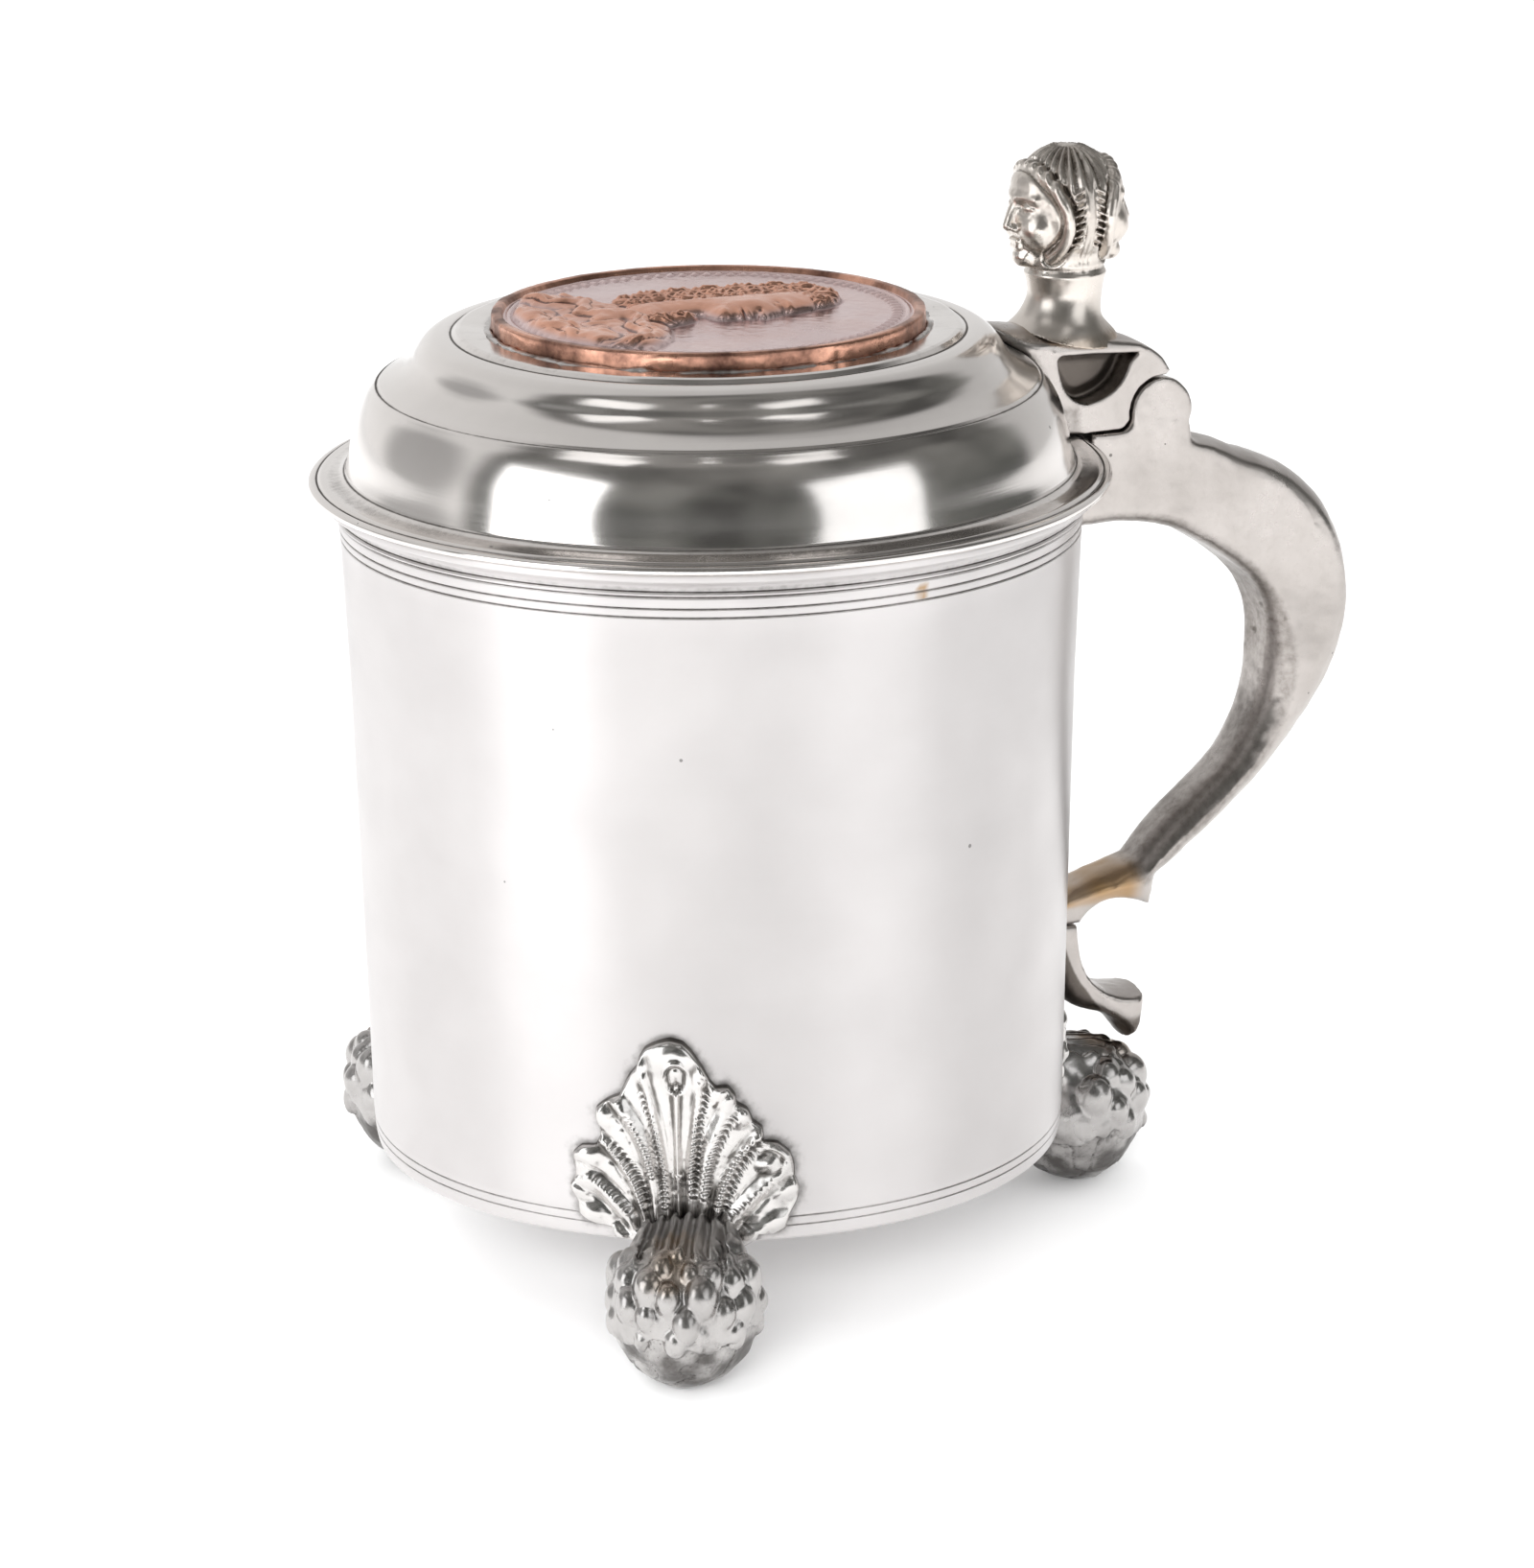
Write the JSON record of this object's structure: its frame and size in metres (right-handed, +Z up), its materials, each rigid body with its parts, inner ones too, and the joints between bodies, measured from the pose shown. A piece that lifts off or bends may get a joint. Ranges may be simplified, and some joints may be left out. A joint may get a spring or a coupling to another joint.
{
  "type": "lidded tankard",
  "caption": "Pewter tankard with a straight drum, ball-and-claw feet, a scroll handle and a hinged domed lid with an inset medal and a head-shaped thumbpiece.",
  "frame": {"origin": "on the surface that the tankard stands on, under the middle of its whole length and width; the drum's axis is 24 mm towards -X", "axes": "+Z up, +X towards the handle, +Y along the hinge pin"},
  "size_m": [0.17, 0.1313, 0.169],
  "materials": {
    "polished_pewter": "polished, softly worn pewter with fine scratches and small pits",
    "cast_pewter": "satin cast pewter, warmer and mottled, with small casting pits",
    "aged_pewter": "cast pewter, bright on the high places and dark in the hollows",
    "solder": "dull grey lumpy soft solder",
    "medal_copper": "struck copper, pinkish on the field and orange brown at the edge"
  },
  "bodies": {
    "vessel": {"body_drum": "polished_pewter", "base_plate": "polished_pewter", "handle_scroll": "cast_pewter", "handle_hook": "cast_pewter", "hinge_pin": "aged_pewter", "foot_leaf_1": "aged_pewter", "foot_leaf_2": "aged_pewter", "foot_leaf_3": "aged_pewter", "foot_ball_1": "aged_pewter", "foot_ball_2": "aged_pewter", "foot_ball_3": "aged_pewter"},
    "lid": {"lid_shell": "polished_pewter", "lid_medal": "medal_copper", "medal_solder_bead": "solder", "hinge_leaf": "cast_pewter", "thumbpiece": "cast_pewter"}
  },
  "joints": [
    {"name": "lid_hinge", "type": "hinge", "parent": "vessel", "child": "lid", "pos_m": [0.0498, 0, 0.1271], "axis": [0, 1, 0], "range_deg": [0, 105]}
  ]
}
